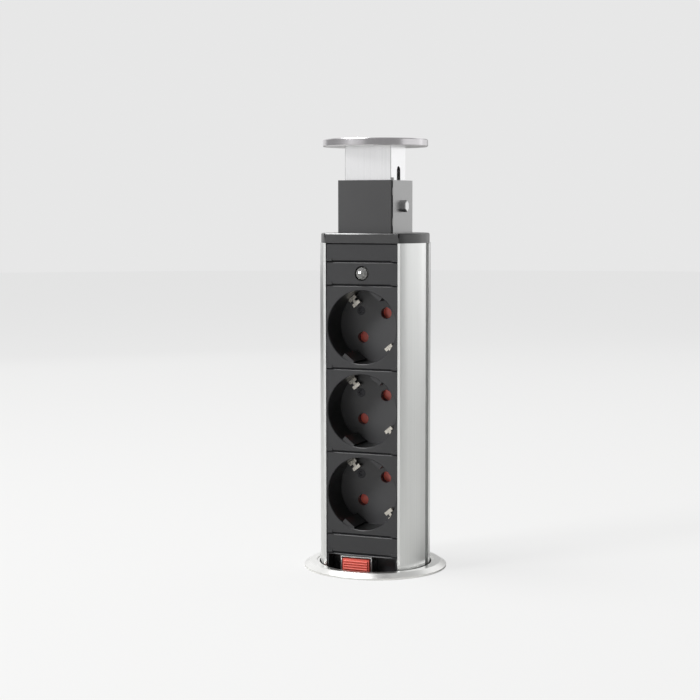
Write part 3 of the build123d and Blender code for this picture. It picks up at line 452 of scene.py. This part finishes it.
finishes = {
    satin_anodised_aluminium: ("tower_profile",),
    turned_aluminium: ("collar_ring",),
    turned_stainless_steel: ("lid_disc",),
    zinc_plated_sheet: ("lid_bracket", "clamp_washer"),
    nickel_spring_strip: ("earth_clip_1", "earth_clip_2", "earth_clip_3"),
    blackened_steel: ("floor_screws",),
    zinc_plated_screws: (
        "cap_screws", "end_plug_screws", "terminal_screws", "lid_screws", "latch_frame",
    ),
    chrome_plated_steel: ("guide_bolt", "guide_nut", "guide_washer"),
    drawn_spring_wire: ("shutter_springs", "latch_spring"),
    brass_strip: ("line_contacts", "neutral_contacts", "line_bar", "neutral_bar", "earth_bar"),
    polished_black_abs: ("top_cap",),
    satin_black_abs: (
        "top_blank_panel", "indicator_panel", "bottom_blank_panel", "lower_cover_panel",
        "latch_housing",
    ),
    socket_abs_painted_shade: ("socket_1", "socket_2", "socket_3"),
    black_polyamide: (
        "collar_neck", "clamp_nut", "stop_ring", "end_plug", "contact_carrier_1",
        "contact_carrier_2", "contact_carrier_3", "wiring_cover", "gland_body",
        "gland_locknut", "gland_nut",
    ),
    natural_polyamide: ("guide_keys", "terminal_block"),
    red_orange_polycarbonate: ("latch_button",),
    red_polyamide_painted_light: ("shutter_1", "shutter_2", "shutter_3"),
    nitrile_rubber: ("desk_gasket", "friction_pads", "gland_seal"),
    green_laminate: ("indicator_board",),
    black_powder_coat: ("sleeve_shell",),
    powder_coat_painted_shade: ("sleeve_front_plate",),
    clear_polycarbonate: ("indicator_lens", "indicator_lamp"),
}
for material, names in finishes.items():
    for name in names:
        piece = nodes[name]
        piece.data.materials.clear()
        piece.data.materials.append(material)


# The latch's coil as a piece of its own, on the tower's body
latch_coil = bpy.data.objects.new("latch_coil", nodes["latch_spring"].data.copy())
scene.collection.objects.link(latch_coil)
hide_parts("latch_spring")
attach(latch_coil, "tower")
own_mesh(latch_coil)


def stage_material(name, code, white_share, white_strength):
    """A matt surface that the camera sees mostly as white, with its shadows kept."""
    material, tree, _ = start_material(name)
    body = add_node(tree, "ShaderNodeBsdfDiffuse", values={"Color": colour(code)})
    glow = add_node(
        tree, "ShaderNodeEmission", values={"Color": white, "Strength": white_strength}
    )
    rays = add_node(tree, "ShaderNodeLightPath")
    seen = add_node(
        tree,
        "ShaderNodeMath",
        {"operation": "MULTIPLY"},
        values={1: white_share},
        links={0: rays.outputs["Is Camera Ray"]},
    )
    blend = add_node(
        tree,
        "ShaderNodeMixShader",
        links={"Fac": seen.outputs["Value"], 1: body.outputs["BSDF"], 2: glow.outputs["Emission"]},
    )
    add_node(tree, "ShaderNodeOutputMaterial", links={"Surface": blend.outputs["Shader"]})
    return material


# Stage: a pale desk top with a round hole under the collar
hole_radius, desk_radius = 0.036, 4.0
widening = desk_radius / hole_radius
desk = bmesh.new()
bmesh.ops.create_circle(desk, segments=96, radius=hole_radius)
outer = bmesh.ops.extrude_edge_only(desk, edges=desk.edges[:])["geom"]
bmesh.ops.scale(
    desk,
    vec=(widening, widening, 1.0),
    verts=[v for v in outer if isinstance(v, bmesh.types.BMVert)],
)
bmesh.ops.recalc_face_normals(desk, faces=desk.faces)
desk_mesh = bpy.data.meshes.new("desk_top")
desk.to_mesh(desk_mesh)
desk.free()
desk_top = bpy.data.objects.new("desk_top", desk_mesh)
desk_top.data.materials.append(stage_material("pale_desk", "#d2d2d0", 0.8, 0.93))
scene.collection.objects.link(desk_top)

# World: near white where it is seen, between that and its level as light where metal mirrors it
light_strength, seen_strength, mirrored_share = 0.2, 0.8, 0.5
world = bpy.data.worlds.new("studio")
scene.world = world
world.use_nodes = True
sky = world.node_tree
sky.nodes.clear()
rays = add_node(sky, "ShaderNodeLightPath")
through = add_node(
    sky,
    "ShaderNodeMath",
    {"operation": "MAXIMUM"},
    links={0: rays.outputs["Is Camera Ray"], 1: rays.outputs["Is Transmission Ray"]},
)
mirrored = add_node(
    sky,
    "ShaderNodeMath",
    {"operation": "MULTIPLY"},
    values={1: mirrored_share},
    links={0: rays.outputs["Is Glossy Ray"]},
)
seen = add_node(
    sky,
    "ShaderNodeMath",
    {"operation": "MAXIMUM"},
    links={0: through.outputs["Value"], 1: mirrored.outputs["Value"]},
)
strength = add_node(
    sky,
    "ShaderNodeMapRange",
    values={"To Min": light_strength, "To Max": seen_strength},
    links={"Value": seen.outputs["Value"]},
)
backdrop = add_node(
    sky,
    "ShaderNodeBackground",
    values={"Color": white},
    links={"Strength": strength.outputs["Result"]},
)
add_node(sky, "ShaderNodeOutputWorld", links={"Surface": backdrop.outputs["Background"]})


def softbox(name, place, aim, size, power):
    """A rectangular area lamp at a place, turned to face a point: metres and watts."""
    lamp = bpy.data.lights.new(name, "AREA")
    lamp.shape = "RECTANGLE"
    lamp.size, lamp.size_y = size
    lamp.energy = power
    thing = bpy.data.objects.new(name, lamp)
    thing.location = place
    thing.rotation_euler = (Vector(aim) - Vector(place)).to_track_quat("-Z", "Y").to_euler()
    scene.collection.objects.link(thing)


# Lamps: large dim ones where flat metal mirrors them, two smaller ones for shape and shadow
tower_middle = (0.0, 0.0, 0.12)
softbox("right_softbox", (1.1, 0.45, 0.45), tower_middle, (1.5, 1.2), 4.6)
softbox("rear_right_softbox", (0.55, 1.2, 0.5), tower_middle, (1.0, 1.4), 2.8)
softbox("front_left_softbox", (-0.85, -1.0, 0.8), tower_middle, (0.35, 0.35), 17.0)
softbox("front_low_softbox", (-0.5, -1.3, 0.2), tower_middle, (0.9, 0.9), 1.0)
softbox("rear_left_softbox", (-0.8, 0.8, 0.5), tower_middle, (1.0, 0.8), 1.4)
softbox("top_left_softbox", (-0.45, -0.1, 1.25), tower_middle, (0.5, 0.4), 11.0)
